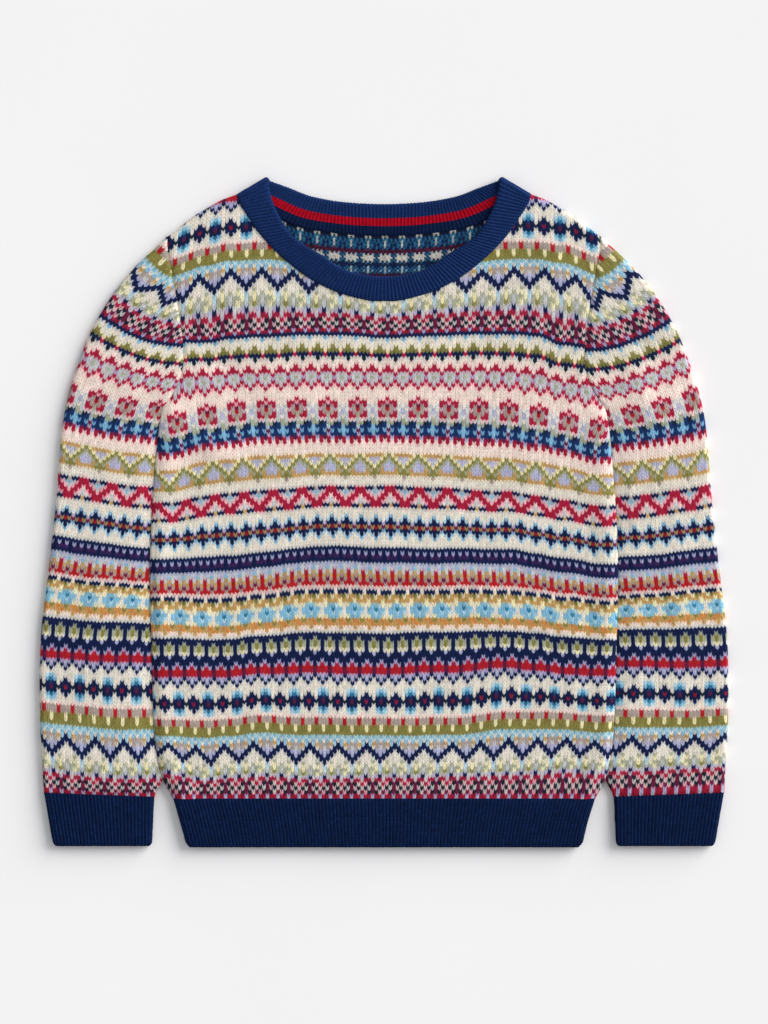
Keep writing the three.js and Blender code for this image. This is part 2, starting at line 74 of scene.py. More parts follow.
# The sleeve's outer fold: height, distance out from the middle.
SLEEVE_FOLD = [
    (-214, 255), (-210, 255.2), (-148, 258.2), (-92, 257.2), (-42, 251.4), (12, 245.6), (71, 240.4),
    (110.3, 229.7), (144, 215.4), (177.8, 192.2), (205.5, 163.7),
]

CUFF_TOP = ((254.9, -210.3), (172.6, -213.3))
CUFF_END = ((248.1, -250.6), (174.2, -250.6))

# The neckband from the shoulder fold to the middle: its seam edge and its free edge.
NECK_FOLD = ((-110.4, 238.5), (-87.7, 252))
NECK_FRONT = [
    ((-108.4, 233.2), (-85.8, 242)), ((-102.9, 223.9), (-81.2, 227.3)),
    ((-87.6, 202.8), (-68.6, 207)), ((-63.4, 181), (-46.8, 192.6)),
    ((-38.8, 167), (-29.6, 181.6)), ((-13.3, 159.6), (-10.1, 177.2)),
]
NECK_FRONT_MIDDLE = ((0, 158.9), (0, 176.7))
NECK_BACK = [((-92, 227), (-70.6, 243.2)), ((-64, 214.6), (-54, 237)),
             ((-30, 209.2), (-30, 232.8))]
NECK_BACK_MIDDLE = ((0, 207.8), (0, 231.3))


# ---- how the knit lies

# Height of a row of the body at the middle, by its number counted up from the hem seam.
BODY_ROW = [
    (-1, -218), (0, -215.2), (5, -200), (15, -173.8), (23, -153), (30, -133.7), (38, -111.4),
    (45, -91.5), (53, -68.8), (57, -55.9), (67, -27.5), (76, -2.6), (84, 18.4), (93, 43.1), (102, 67.7),
    (109, 86), (118, 109.9), (126, 132.6), (131, 145.2), (141, 174), (149, 195), (156, 213.8),
    (164, 234.8), (170, 250.5),
]
# Where the middle column runs, and the width of a stitch, by height.
MIDDLE_COLUMN = [
    (-215, 7), (-180, 8.3), (-120, 8.6), (-75, 7.9), (-50, 6.5), (-14, 5), (16, 4.2), (60, 3.2),
    (100, 2.8), (240, 2.8),
]
STITCH_WIDTH = [
    (-215, 2.62), (-197, 2.64), (-143, 2.70), (-100, 2.73), (-50, 2.71), (-15, 2.71), (50, 2.77),
    (61, 2.81), (98, 2.87), (121, 2.93), (160, 2.95), (240, 2.93),
]
# How much lower than at the middle a row lies, by height (down the table) and across (along it).
LEAN_ACROSS = (-162, -134, -115, -93, -48, 0, 48, 93, 115, 134, 162)
LEAN = [
    (-215, (0, 0, 0, 0, 0, 0, 0, 0, 0, 0, 0)),
    (-194, (-3, 3, 0, -1.5, 1.5, 0, -1, -1.5, -3, -4.5, -4)),
    (-163, (0, 2, 0, -2.5, -1, 0, -1, -5, -5, -4.5, -3)),
    (-118, (1.5, 2, 2, 0, -1.5, 0, -1.5, -5.5, -2.5, 0, 1.5)),
    (-73, (5, 6, 6, 3.5, 0, 0, 0, 0, 1.5, 4, 7.5)),
    (-28, (9, 7, 6, 3, -1, 0, 0.5, 1.5, 4.5, 7.5, 12)),
    (16, (12, 7.5, 5, 3, -0.5, 0, 1, 4, 7, 10.5, 14)),
    (62, (12.5, 6, 4, 1.5, 0, 0, 1.5, 3, 6, 10.5, 16.5)),
    (92, (11, 5, 1.5, 1, 0.5, 0, 1, 1.5, 4.5, 9, 15.5)),
    (107, (5.5, 3, 1.5, 1, 0, 0, 0, 0, 2, 7.5, 11)),
    (137, (4.5, 4, 1, -1, -2, 0, -2, -2.5, -1, 5, 8.5)),
    (157, (4, -4, -7.5, -9, -6, 0, -6, -9, -9, -5.5, 3)),
    (240, (4, -4.5, -8, -9, -7, 0, -7, -10, -10, -7.5, 0)),
]

# Rows of each sleeve, counted up from the cuff: height at the outer fold, height at the inner edge, and
# how far the middle of the row sags below the straight line between them.
SLEEVE_ROWS = {
    -1: [
        (-1, -212.5, -216.5, 1), (0, -209.5, -213.5, 1.5), (5, -195, -200.5, 2),
        (26.5, -129.7, -135, 1.8), (45, -78.7, -84.7, 1), (55.5, -49.5, -57, 0.8),
        (67, -18, -27.7, 0.8), (78.5, 12.7, 3, 0.8), (99.5, 72, 59, 2.5),
        (105.5, 89, 75, 3), (110, 101.5, 85.5, 4), (114.5, 116, 95, 4.6),
        (120.5, 133.5, 109.5, 5.4), (126, 148.5, 125, 5.6), (131, 163, 139.5, 5.2),
        (141, 186, 167, 4), (145, 195, 182, 2), (149, 202, 198, 0.5),
        (152, 206.5, 206.5, 0),
    ],
    1: [
        (-1, -211.4, -214.8, 0.5), (0, -207.8, -211.2, 0.5), (5, -192, -195, 0.5),
        (26.5, -136.5, -136.5, 0.8), (45, -86.5, -89, 0.8), (55.5, -58.5, -64.5, 0.8),
        (67, -27, -34.5, 0.8), (78.5, 4.5, -5.2, 0.8), (99.5, 66, 54, 2),
        (105.5, 86, 69.5, 3), (110, 99, 81, 4), (114.5, 112.5, 90, 4.8),
        (120.5, 128.5, 105.7, 5.4), (126, 145, 122, 5.6), (131, 160, 137.5, 5.2),
        (141, 184, 166, 4), (145, 194, 181, 2), (149, 202, 198, 0.5),
        (152, 206.5, 206.5, 0),
    ],
}
SLEEVE_STITCH = {
    -1: [(-1, 2.70), (45, 2.70), (80, 2.76), (126, 3), (152, 3)],
    1: [(-1, 2.92), (26, 2.90), (60, 2.80), (80, 2.78), (126, 3), (152, 3)],
}
SLEEVE_FOLD_COLUMN = {
    -1: [(-1, 0.2), (45, 0.1), (80, 0.2), (152, 0.2)],
    1: [(-1, -1), (45, -1.5), (80, -2.4), (152, -2.4)],
}

# Soft folds: middle, direction, length, width and height. Those below zero are hollows.
FRONT_FOLDS = [
    (128, 58, 32, 74, 11, 1.5), (-132, 50, 146, 66, 10, 1.3), (-146, -92, 86, 120, 12, 1.1),
    (143, -118, 95, 96, 13, 1), (-112, 96, 118, 70, 9, -0.8), (109, 104, 58, 64, 8, -0.9),
    (-40, -150, 12, 90, 14, 0.7), (62, -60, 168, 110, 16, 0.8), (-70, 10, 24, 84, 13, 0.6),
    (22, 118, 4, 76, 10, 0.7), (-120, 190, 74, 52, 8, 0.8), (124, 186, 104, 46, 9, 0.7),
]
BACK_FOLDS = [
    (-90, 40, 28, 80, 12, 0.5), (84, -30, 152, 96, 13, 0.5), (-30, -120, 80, 70, 11, 0.4),
    (60, 120, 12, 62, 10, 0.4),
]
SLEEVE_FOLDS = {
    -1: [(-194, 92, 60, 84, 11, 1.4), (-216, -84, 87, 120, 14, 1.3), (-206, 22, 72, 60, 9, 0.8),
         (-196, -168, 70, 44, 8, 0.9), (-184, 132, 38, 50, 8, -0.7)],
    1: [(196, 84, 118, 80, 12, 1.6), (222, -60, 92, 110, 13, 1.2), (205, 30, 104, 56, 9, 0.8),
        (199, -172, 108, 40, 8, 0.8), (186, 130, 140, 48, 8, -0.7)],
}

# ---- the band charts

# One string a row from the top of a band to its bottom, and one letter a stitch. The first letter is the
# middle column of the garment, and the row repeats to both sides.
BANDS = {
    "check": "gccgcc mkwcpk mpkwkw mkwmpk lcclcc",
    "scallop": "nahxxxha nnwxgxwn wnnlllnn wwnnlnnw wwwnnnww wwuwnwuw uwywawyw guuyauyu guyuguou "
               "ngglnggl",
    "ripple": "sasa wsws",
    "berries": "eeee xxrx xxrx yooo yooo oooo",
    "flowers": "wwwasaww nwwstsww nnwnbnwn cnknmnkn nnwnnnwn nwwstsww wwwasaww",
    "ribbon": "lnnn clnl rrmr rcmc llnl lnwn nwww wwww",
    "tulips": "nnnn nnun nuou nuou nwyw nnln nnnn",
    "sand": "hqho hhqh ehee wwww",
    "lozenges": "ssaywy stssws sasaws sssywy",
    "tan": "hhoy hyhh",
    "dashes": "wnnn",
    "peach_line": "eeee",
    "pyramids": "cghg rhxh rxmx rrxr",
    "mist": "lglg glsg",
    "vees": "nnnn nlnl ddnd nnnn",
    "ivory": "wwww wwww",
    "snow": "swww nawa nnln rhmh nnsn nawa swww",
    "red_wave": "ccnnxnnc ccpgsgpc eccpgpcc gpccpccp gepcccpe hnncccnn",
    "olive_wave": "oyhhhhhy uoylllyo luoylyou lluoyoul llhuouhl hhhooohh wwwwxwww",
    "peach": "eeee eeee eeee",
    "crosses": "uukb abbbsbbb msbsssbs lbbbsbbb clcm cece",
    "roses": "ceeeeeee pcceeecc mxcgwgcx rxgwlwgx xxcglgcx uccgwgcc geegugee",
    "peach_two": "eeee eeee",
    "lattice": "ceee ccec ggcg uglg ggcg gcpc ceee",
    "sprigs": "swww wwww wwow yooo cnnn wwkw eeee",
    "navy_line": "nnnn",
}
BAND_ORDER = (
    "check scallop ripple berries flowers ribbon tulips sand lozenges tan dashes peach_line pyramids mist "
    "vees ivory snow ivory red_wave ivory olive_wave peach crosses roses peach_two lattice sprigs "
    "navy_line check scallop ripple berries flowers ribbon"
).split()

# The wrong side of the back, seen through the neck: the same yarns as floats and small stars.
INSIDE_ROWS = (
    "nnknnnkn wwnknknw kwknnnkw ttbtbtbt wtbtntbt wbtbtbtb wttnbntt wbtbtbtb btbntnbt mmkmmkmm kmmkmmkm "
    "wnwtbtwn wwwbtbww awwwnwww wwwbtbww wnwtbtwn ntnbkbnt bkbnbnbk wbtbnbtb atbtbtbt wbabtbab atbtbtbt "
    "mkmkmkmk mmkmmmkm wnwknkwn wwwnnnww awwbtbww nbtbtbtb mkmkmkmk knnnknnn"
).split()

YARNS = {
    "w": ("ivory", (0.894, 0.863, 0.804)),
    "e": ("peach_cream", (0.940, 0.862, 0.815)),
    "n": ("navy", (0.066, 0.112, 0.260)),
    "k": ("bottle_black", (0.086, 0.122, 0.173)),
    "b": ("deep_blue", (0.090, 0.188, 0.373)),
    "t": ("teal", (0.173, 0.451, 0.569)),
    "s": ("sky", (0.506, 0.714, 0.827)),
    "a": ("pale_aqua", (0.706, 0.827, 0.871)),
    "l": ("lilac", (0.702, 0.702, 0.816)),
    "g": ("silver", (0.765, 0.772, 0.780)),
    "c": ("crimson", (0.639, 0.114, 0.220)),
    "r": ("red", (0.680, 0.110, 0.140)),
    "m": ("maroon", (0.392, 0.106, 0.227)),
    "p": ("pink", (0.941, 0.725, 0.733)),
    "o": ("olive", (0.512, 0.486, 0.255)),
    "u": ("sage", (0.643, 0.655, 0.557)),
    "y": ("primrose", (0.929, 0.890, 0.706)),
    "h": ("ochre", (0.741, 0.580, 0.349)),
    "q": ("orange", (0.816, 0.502, 0.247)),
    "x": ("taupe", (0.663, 0.604, 0.569)),
    "d": ("plum", (0.227, 0.129, 0.314)),
}


# ---- curves


def smooth(points):
    """A smooth curve through pairs of place and value, for numbers or whole arrays of places."""
    at, value = (np.array(column, float) for column in zip(*points))
    last = len(at) - 1
    before = np.maximum(np.arange(last + 1) - 1, 0)
    after = np.minimum(np.arange(last + 1) + 1, last)
    slope = (value[after] - value[before]) / (at[after] - at[before])

    def curve(place):
        place = np.asarray(place, float)
        i = np.clip(np.searchsorted(at, place) - 1, 0, last - 1)
        span = at[i + 1] - at[i]
        t = np.clip((place - at[i]) / span, 0, 1)
        return ((2 * t**3 - 3 * t**2 + 1) * value[i] + (t**3 - 2 * t**2 + t) * span * slope[i]
                + (3 * t**2 - 2 * t**3) * value[i + 1] + (t**3 - t**2) * span * slope[i + 1])

    return curve


def straight(points):
    """Straight lines through pairs of place and value."""
    at, value = zip(*points)
    return lambda place: np.interp(place, at, value)


def ease(low, high, value):
    t = np.clip((value - low) / (high - low), 0, 1)
    return t * t * (3 - 2 * t)


def quarter_round(inset, radius):
    """Height share of a rounded edge at a distance in from it."""
    short = np.clip(1 - inset / radius, 0, 1)
    return np.sqrt(1 - short**2)


body_half = smooth(BODY_SIDE)
hem_half = smooth(HEM_SIDE)
shoulder_y = straight(SHOULDER)
body_row = smooth(BODY_ROW)
middle_column = smooth(MIDDLE_COLUMN)
stitch_width = smooth(STITCH_WIDTH)
sleeve_fold_x = smooth(SLEEVE_FOLD)


def cell(place, marks):
    """Which gap between the marks a place is in, and how far into it, eased."""
    at = np.interp(place, marks, np.arange(len(marks)))
    i = np.minimum(at.astype(int), len(marks) - 2)
    return i, ease(0, 1, at - i)


def lean(x, y):
    """How much lower a row lies at x than it does at the middle."""
    heights, values = (np.array(column, float) for column in zip(*LEAN))
    (i, s), (j, t) = cell(x, LEAN_ACROSS), cell(y, heights)
    low = values[j, i] * (1 - s) + values[j, i + 1] * s
    high = values[j + 1, i] * (1 - s) + values[j + 1, i + 1] * s
    return low * (1 - t) + high * t


def fold_lift(x, y, folds):
    """Height of the soft folds at a point."""
    lift = np.zeros_like(x)
    for fold_x, fold_y, turn, length, width, high in folds:
        c, s = math.cos(math.radians(turn)), math.sin(math.radians(turn))
        along = (x - fold_x) * c + (y - fold_y) * s
        across = (y - fold_y) * c - (x - fold_x) * s
        lift += high * np.exp(-((across / width) ** 2) - (2 * along / length) ** 2)
    return lift


def sway(x, y, turn):
    """The slight wander of hand-laid knit, in X and in Y."""
    dx = (0.30 * np.sin(0.061 * x + 0.043 * y + turn) + 0.22 * np.sin(0.117 * y - 0.083 * x + 2 * turn)
          + 0.10 * np.sin(0.31 * y + 0.12 * x))
    dy = (0.34 * np.sin(0.052 * x - 0.038 * y + 3 * turn) + 0.26 * np.sin(0.142 * x + 0.031 * y + turn)
          + 0.14 * np.sin(0.37 * x - 0.09 * y))
    return dx, dy


# ---- meshes


def linear(colour):
    """Screen colours as linear light."""
    c = np.asarray(colour, float)
    return np.where(c <= 0.04045, c / 12.92, ((c + 0.055) / 1.055) ** 2.4)


def yarn_colours(wools):
    """Linear colour of each yarn letter."""
    return {letter: linear(getattr(wools, name)) for letter, (name, _) in YARNS.items()}


def chart_rows():
    """The rows of the whole pattern from the hem or cuff up."""
    return [row for band in BAND_ORDER for row in reversed(BANDS[band].split())]


def stitch_colours(letters, colours, random, spread):
    """Linear colours for an array of yarn letters, each stitch a little different."""
    base = np.zeros(letters.shape + (3,))
    for letter, colour in colours.items():
        base[letters == letter] = colour
    bright = 1 + spread * random.standard_normal(letters.shape)
    tint = 1 + 0.2 * spread * random.standard_normal(letters.shape + (3,))
    return np.clip(base * bright[..., None] * tint, 0.001, 1)


def blend(shades, mix, flip):
    """Corner colours of a grid of quads, each run a little into the stitches round it."""
    wide = np.pad(np.log(shades), ((1, 1), (1, 1), (0, 0)), mode="edge")
    point = (wide[:-1, :-1] + wide[1:, :-1] + wide[:-1, 1:] + wide[1:, 1:]) / 4
    corners = [point[:-1, :-1], point[:-1, 1:], point[1:, 1:], point[1:, :-1]]
    if flip:
        corners = [corners[k] for k in (0, 3, 2, 1)]
    return np.exp(np.log(shades)[:, :, None] * (1 - mix) + np.stack(corners, 2) * mix).reshape(-1, 4, 3)


def mesh_object(name, points, quads, colours, loops, material):
    """A mesh of quads with a yarn colour and stitch coordinates at its corners. Empty quads are left out."""
    corner = points[quads]
    area = np.linalg.norm(np.cross(corner[:, 2] - corner[:, 0], corner[:, 3] - corner[:, 1]), axis=1) / 2
    keep = area > LEAST_QUAD
    quads, colours, loops = quads[keep], colours[keep], loops[keep]
    used, quads = np.unique(quads, return_inverse=True)
    quads = quads.reshape(-1, 4)
    mesh = bpy.data.meshes.new(name)
    mesh.vertices.add(len(used))
    mesh.vertices.foreach_set("co", (points[used] * MM).ravel())
    mesh.loops.add(4 * len(quads))
    mesh.loops.foreach_set("vertex_index", quads.ravel())
    mesh.polygons.add(len(quads))
    mesh.polygons.foreach_set("loop_start", np.arange(0, 4 * len(quads), 4))
    mesh.polygons.foreach_set("use_smooth", np.ones(len(quads), bool))
    mesh.update(calc_edges=True)
    mesh.validate()
    rgba = np.ones((len(quads), 4, 4), np.float32)
    rgba[..., :3] = colours
    yarn = mesh.color_attributes.new("yarn", "FLOAT_COLOR", "CORNER")
    yarn.data.foreach_set("color", rgba.ravel())
    stitch = mesh.attributes.new("stitch", "FLOAT_VECTOR", "CORNER")
    stitch.data.foreach_set("vector", loops.astype(np.float32).ravel())
    mesh.materials.append(material)
    obj = bpy.data.objects.new(name, mesh)
    bpy.context.scene.collection.objects.link(obj)
    return obj


def grid_quads(rows, columns, flip=False, wrap=False):
    """Corner numbers of the quads of a grid of points, row by row."""
    j, i = np.meshgrid(np.arange(rows - 1), np.arange(columns if wrap else columns - 1), indexing="ij")
    nxt = (i + 1) % columns
    a, b, c, d = j * columns + i, j * columns + nxt, (j + 1) * columns + nxt, (j + 1) * columns + i
    quads = np.stack([a, d, c, b] if flip else [a, b, c, d], axis=-1)
    return quads.reshape(-1, 4)


# A stitch is four strips wide. Across a leg is -1 at the gap between two stitches and 1 at the middle of
# the stitch, and the legs' own shape is a share of the relief.
STRIPS = 4
LEG_ACROSS = np.array([(-1, 0), (0, 1), (1, 0), (0, -1)], float)
LEG_SHAPE = np.array([-0.6, 0.5, -0.3, 0.5])
# How far the hand-made knit strays, in millimetres of height and in shares of a stitch and a row.
RELIEF_WANDER = 0.05
STITCH_WANDER = 0.025


def leg_coordinates(rows, columns, random, flip=False):
    """Place in its leg, across and along, and a number of its own, for each quad corner of a grid."""
    across = np.broadcast_to(LEG_ACROSS[np.arange(columns) % STRIPS], (rows, columns, 2))
    own = random.random((rows, (columns + 1) // 2 + 1))
    own = np.repeat(own, 2, axis=1)[:, :columns]
    loops = np.zeros((rows, columns, 4, 3))
    loops[..., 0] = across[..., [0, 0, 1, 1] if flip else [0, 1, 1, 0]]
    loops[..., 1] = (-1, 1, 1, -1) if flip else (-1, -1, 1, 1)
    loops[..., 2] = own[..., None]
    return loops.reshape(-1, 4, 3)


def chart(letters, first, last, count):
    """The yarn letter of every stitch, row by row. The row below the first repeats it."""
    rows = (letters[max(j - 1, 0) % len(letters)] for j in range(count))
    return np.array([[row[column % len(row)] for column in range(first, last)] for row in rows])


def knit(name, first, last, rows, place, letters, colours, seed, sizes, material, flip=False, extra=None):
    """A knitted piece of columns first to last, laid out by place(column, row, relief).

    The place function also marks the points beyond the edge of the piece, whose quads are left out.
    """
    random = np.random.default_rng(seed)
    lines = STRIPS * (last - first) + 1
    column = first - 0.5 + np.arange(lines) / STRIPS
    column, row = np.meshgrid(column, np.arange(-1, rows + 1, dtype=float))
    row = row + sizes.slant * 2 * np.abs(column - np.round(column))
    relief = sizes.relief * LEG_SHAPE[np.arange(lines) % STRIPS]
    relief = np.broadcast_to(relief, column.shape) + RELIEF_WANDER * random.standard_normal(column.shape)
    column = column + STITCH_WANDER * random.standard_normal(column.shape)
    row = row + STITCH_WANDER * random.standard_normal(row.shape)
    laid = place(column, row, relief)
    points, gone = laid[..., :3], laid[..., 3].reshape(-1) > 0.5
    count = rows + 1
    shades = stitch_colours(chart(letters, first, last, count), colours, random, sizes.spread)
    shades = np.repeat(shades, STRIPS, axis=1)
    quads = grid_quads(rows + 2, lines, flip)
    loops = leg_coordinates(count, lines - 1, random, flip)
    keep = ~gone[quads].all(axis=1)
    parts = [points.reshape(-1, 3), quads[keep], blend(shades, sizes.halo, flip)[keep], loops[keep]]
    if extra:
        extra = (extra[0], extra[1] + len(parts[0]), *extra[2:])
        parts = [np.concatenate(pair) for pair in zip(parts, extra)]
    return mesh_object(name, *parts, material)


# ---- neckline


FOLD_OUT = np.array([NECK_FOLD[0][1] - NECK_FOLD[1][1], NECK_FOLD[1][0] - NECK_FOLD[0][0]])
FOLD_OUT /= np.linalg.norm(FOLD_OUT)
FOLD_INSET = 3.8  # from a fold corner to where the band starts to turn over
BAND_POINTS = 321
CUT_CHUNK = 4000  # points drawn back to the seam at a time


def band_edges(rows, middle):
    """The seam edge and the free edge of the neckband from one fold to the other, as dense points."""
    edges = []
    for k in (0, 1):
        fold = np.array(NECK_FOLD[k], float) - FOLD_OUT * FOLD_INSET
        half = [fold] + [np.array(row[k], float) for row in rows]
        whole = half + [np.array(middle[k], float)] + [p * (-1, 1) for p in reversed(half)]
        numbers = np.arange(len(whole))
        t = np.linspace(0, len(whole) - 1, BAND_POINTS)
        edges.append(np.stack([smooth(list(zip(numbers, [p[i] for p in whole])))(t) for i in (0, 1)], 1))
    return edges


def cut_neck(points, seam):
    """Draws the points inside the neckline back to the seam, so that the quads beyond it close up."""
    flat = points.reshape(-1, 3)
    x, y = flat[:, 0], flat[:, 1]
    order = np.argsort(seam[:, 0])
    line = np.interp(x, seam[order, 0], seam[order, 1])
    inside = np.where((y > line) & (np.abs(x) < np.abs(seam[:, 0]).max()))[0]
    for chunk in np.array_split(inside, max(len(inside) // CUT_CHUNK, 1)):
        gap = ((flat[chunk, None, :2] - seam[None]) ** 2).sum(2)
        best = gap.argmin(1)
        flat[chunk, :2] = seam[best]
    return points


# ---- sizes and colours


def millimetres(label, what, value, least, most):
    return bpy.props.FloatProperty(name=label, description=f"{what}, mm", default=value, min=least, max=most)


def share(label, what, value, most=1):
    return bpy.props.FloatProperty(
        name=label, description=what, default=value, min=0, max=most, subtype="FACTOR")


class JumperSizes(bpy.types.PropertyGroup):
    """Sizes of the cloth."""

    wall: millimetres("Knit thickness", "Thickness of the stranded knit", 3.0, 1, 5)
    lay: millimetres("Layer gap", "Air between front and back", 0.4, 0.1, 3)
    relief: millimetres("Stitch relief", "Height of a stitch's legs", 0.42, 0, 2)
    slant: share("Stitch slant", "Rise of a leg across half a stitch, as a share of a row", 0.55)
    spread: share("Heather", "How much the yarn's shade differs between stitches", 0.05, 0.3)
    halo: share("Halo", "How far the yarns' colours run into each other", 0.24)
    rib_wall: millimetres("Rib thickness", "Thickness of the hem and cuff ribs", 3.2, 1, 6)
    rib_width: millimetres("Rib width", "Distance from one rib to the next", 2.62, 1, 8)
    rib_depth: millimetres("Rib depth", "Height of a rib above its groove", 1.0, 0, 3)
    band_wall: millimetres("Neckband thickness", "Thickness of the neckband", 3.6, 1, 6)
    band_lift: millimetres("Neckband lift", "How much its free edge stands up at the front", 1.6, 0, 6)
    stripe_from: share("Stripe start", "Lower edge of the red stripe, as a share of the band", 0.29)
    stripe_to: share("Stripe end", "Upper edge of the red stripe, as a share of the band", 0.54)


def yarn_property(label, what, colour):
    return bpy.props.FloatVectorProperty(
        name=label, description=what, subtype="COLOR_GAMMA", size=3, min=0, max=1, default=colour)


class JumperWools(bpy.types.PropertyGroup):
    """Colours of the yarns, as they look on a screen. The yarns of the charts are added below."""

    rib: yarn_property("Rib navy", "Yarn of the hem and cuffs", (0.045, 0.115, 0.250))
    neck: yarn_property("Neckband navy", "Yarn of the neckband", (0.090, 0.180, 0.365))
    stripe: yarn_property("Stripe red", "Stripe inside the back of the neckband", (0.66, 0.04, 0.13))


for _yarn, _colour in YARNS.values():
    JumperWools.__annotations__[_yarn] = yarn_property(
        _yarn.replace("_", " ").capitalize(), "Yarn colour", _colour)


# ---- materials


class NodeBench:
    """Adds shader nodes to a material's tree and links them."""

    def __init__(self, name):
        self.material = bpy.data.materials.new(name)
        self.material.use_nodes = True
        self.tree = self.material.node_tree
        self.shader = self.tree.nodes["Principled BSDF"]
        self.where = self.add("ShaderNodeTexCoord").outputs["Object"]

    def add(self, kind, inputs=None, **settings):
        node = self.tree.nodes.new(kind)
        for key, value in settings.items():
            setattr(node, key, value)
        for key, value in (inputs or {}).items():
            self.put(node.inputs[key], value)
        return node

    def put(self, socket, value):
        if isinstance(value, bpy.types.NodeSocket):
            self.tree.links.new(value, socket)
        else:
            socket.default_value = value

    def math(self, operation, *values, clamp=False):
        node = self.add("ShaderNodeMath", operation=operation, use_clamp=clamp)
        for socket, value in zip(node.inputs, values):
            self.put(socket, value)
        return node.outputs[0]

    def times(self, first, second):
        return self.math("MULTIPLY", first, second)

    def plus(self, first, second):
        return self.math("ADD", first, second)

    def noise(self, scale, detail, **more):
        inputs = {"Vector": self.where, "Scale": scale, "Detail": detail, **more}
        return self.add("ShaderNodeTexNoise", inputs).outputs[0]

    def grey(self, value):
        return self.add("ShaderNodeCombineColor", {0: value, 1: value, 2: value}).outputs[0]

    def spread(self, value, low, high, to_low, to_high):
        node = self.add("ShaderNodeMapRange", {0: value, 1: low, 2: high, 3: to_low, 4: to_high})
        return node.outputs[0]


def wool_material(name, groove, painted_valley_shade, fuzz, sheen):
    """Wool: yarn colour with heather, painted shade in the gaps round each leg, twisted plies and a soft nap.
    """
    bench = NodeBench(name)
    yarn = bench.add("ShaderNodeAttribute", attribute_name="yarn").outputs["Color"]
    stitch = bench.add("ShaderNodeAttribute", attribute_name="stitch").outputs["Vector"]
    across, along, own = bench.add("ShaderNodeSeparateXYZ", {0: stitch}).outputs

    # A leg is a plump leaf along the long diagonal of its cell.
    side = bench.times(bench.plus(across, along), 0.5)
    length = bench.times(bench.math("SUBTRACT", across, along), 0.5)
    fall = bench.plus(bench.times(bench.times(side, side), 1.25),
                      bench.times(bench.times(length, length), 0.55))
    leaf = bench.math("SQRT", bench.math("SUBTRACT", 1.0, fall, clamp=True))

    ply = bench.math("SINE", bench.plus(bench.times(length, 9.0), bench.times(side, 6.0)))
    nap = bench.noise(1500.0, 4.0, Roughness=0.7)
    heather = bench.noise(900.0, 4.0, Roughness=0.6)
    wear = bench.noise(28.0, 3.0)

    # Painted shade: the groove share darkens the yarn where each leg's leaf falls off into the gaps round it.
    shade = bench.spread(leaf, 0.0, 0.62, 1.0 - groove, 1.0)
    # Heather, each stitch's own tone and wear are the yarn's colour; the factor on across is painted shade in
    # the groove between stitches and ribs.
    for more in (bench.spread(heather, 0.25, 0.75, 0.74, 1.24),
                 bench.spread(across, -1.0, -0.2, 1.0 - painted_valley_shade, 1.0),
                 bench.spread(own, 0.0, 1.0, 0.94, 1.06), bench.spread(wear, 0.3, 0.7, 0.96, 1.04)):
        shade = bench.times(shade, more)
    coloured = bench.add("ShaderNodeMix", data_type="RGBA", blend_type="MULTIPLY")
    bench.put(coloured.inputs[0], 1.0)
    bench.put(coloured.inputs[6], yarn)
    bench.put(coloured.inputs[7], bench.grey(shade))
    pale = bench.add("ShaderNodeMix", data_type="RGBA")
    bench.put(pale.inputs[0], bench.spread(nap, 0.5, 0.78, 0.0, fuzz))
    bench.put(pale.inputs[6], coloured.outputs[2])
    bench.put(pale.inputs[7], (0.62, 0.60, 0.60, 1.0))
    bench.put(bench.shader.inputs["Base Color"], pale.outputs[2])

    height = bench.plus(bench.times(leaf, 0.75), bench.times(ply, 0.045))
    height = bench.plus(height, bench.times(nap, 0.22))
    bump = bench.add("ShaderNodeBump", {"Strength": 0.65, "Distance": 0.0006, "Height": height})
    bench.put(bench.shader.inputs["Normal"], bump.outputs[0])
    bench.put(bench.shader.inputs["Roughness"], bench.spread(nap, 0.3, 0.7, 0.84, 0.98))
    bench.shader.inputs["Sheen Weight"].default_value = sheen
    bench.shader.inputs["Sheen Roughness"].default_value = 0.55
    bench.shader.inputs["Specular IOR Level"].default_value = 0.04
    return bench.material


# How each kind of wool looks: painted shade round each leg, painted shade in the grooves of a rib, pale nap,
# and sheen.
PATTERNED = {"groove": 0.72, "painted_valley_shade": 0.0, "fuzz": 0.03, "sheen": 0.015}
RIBBED = {"groove": 0.40, "painted_valley_shade": 0.50, "fuzz": 0.004, "sheen": 0.004}
NECK_RIBBED = {"groove": 0.40, "painted_valley_shade": 0.50, "fuzz": 0.006, "sheen": 0.006}


def wool(name, look=PATTERNED):
    """The named wool material, made on first use."""
    return bpy.data.materials.get(name) or wool_material(name, **look)


# ---- body


EDGE_LIP = 0.15  # half the gap left between the panels at a rounded edge
ROLL_HEIGHT, ROLL_WIDTH = 1.6, 23  # of the soft roll inside a side edge
ARMHOLE_GROOVE, ARMHOLE_WIDTH = 1.5, 2.2
HEM_GROOVE, SEAM_WIDTH = 0.9, 1.6
LEAST_Y = HEM_SEAM_Y - 0.6  # the knit ends just under the rib


def bell(distance, width):
    return np.exp(-((distance / width) ** 2))


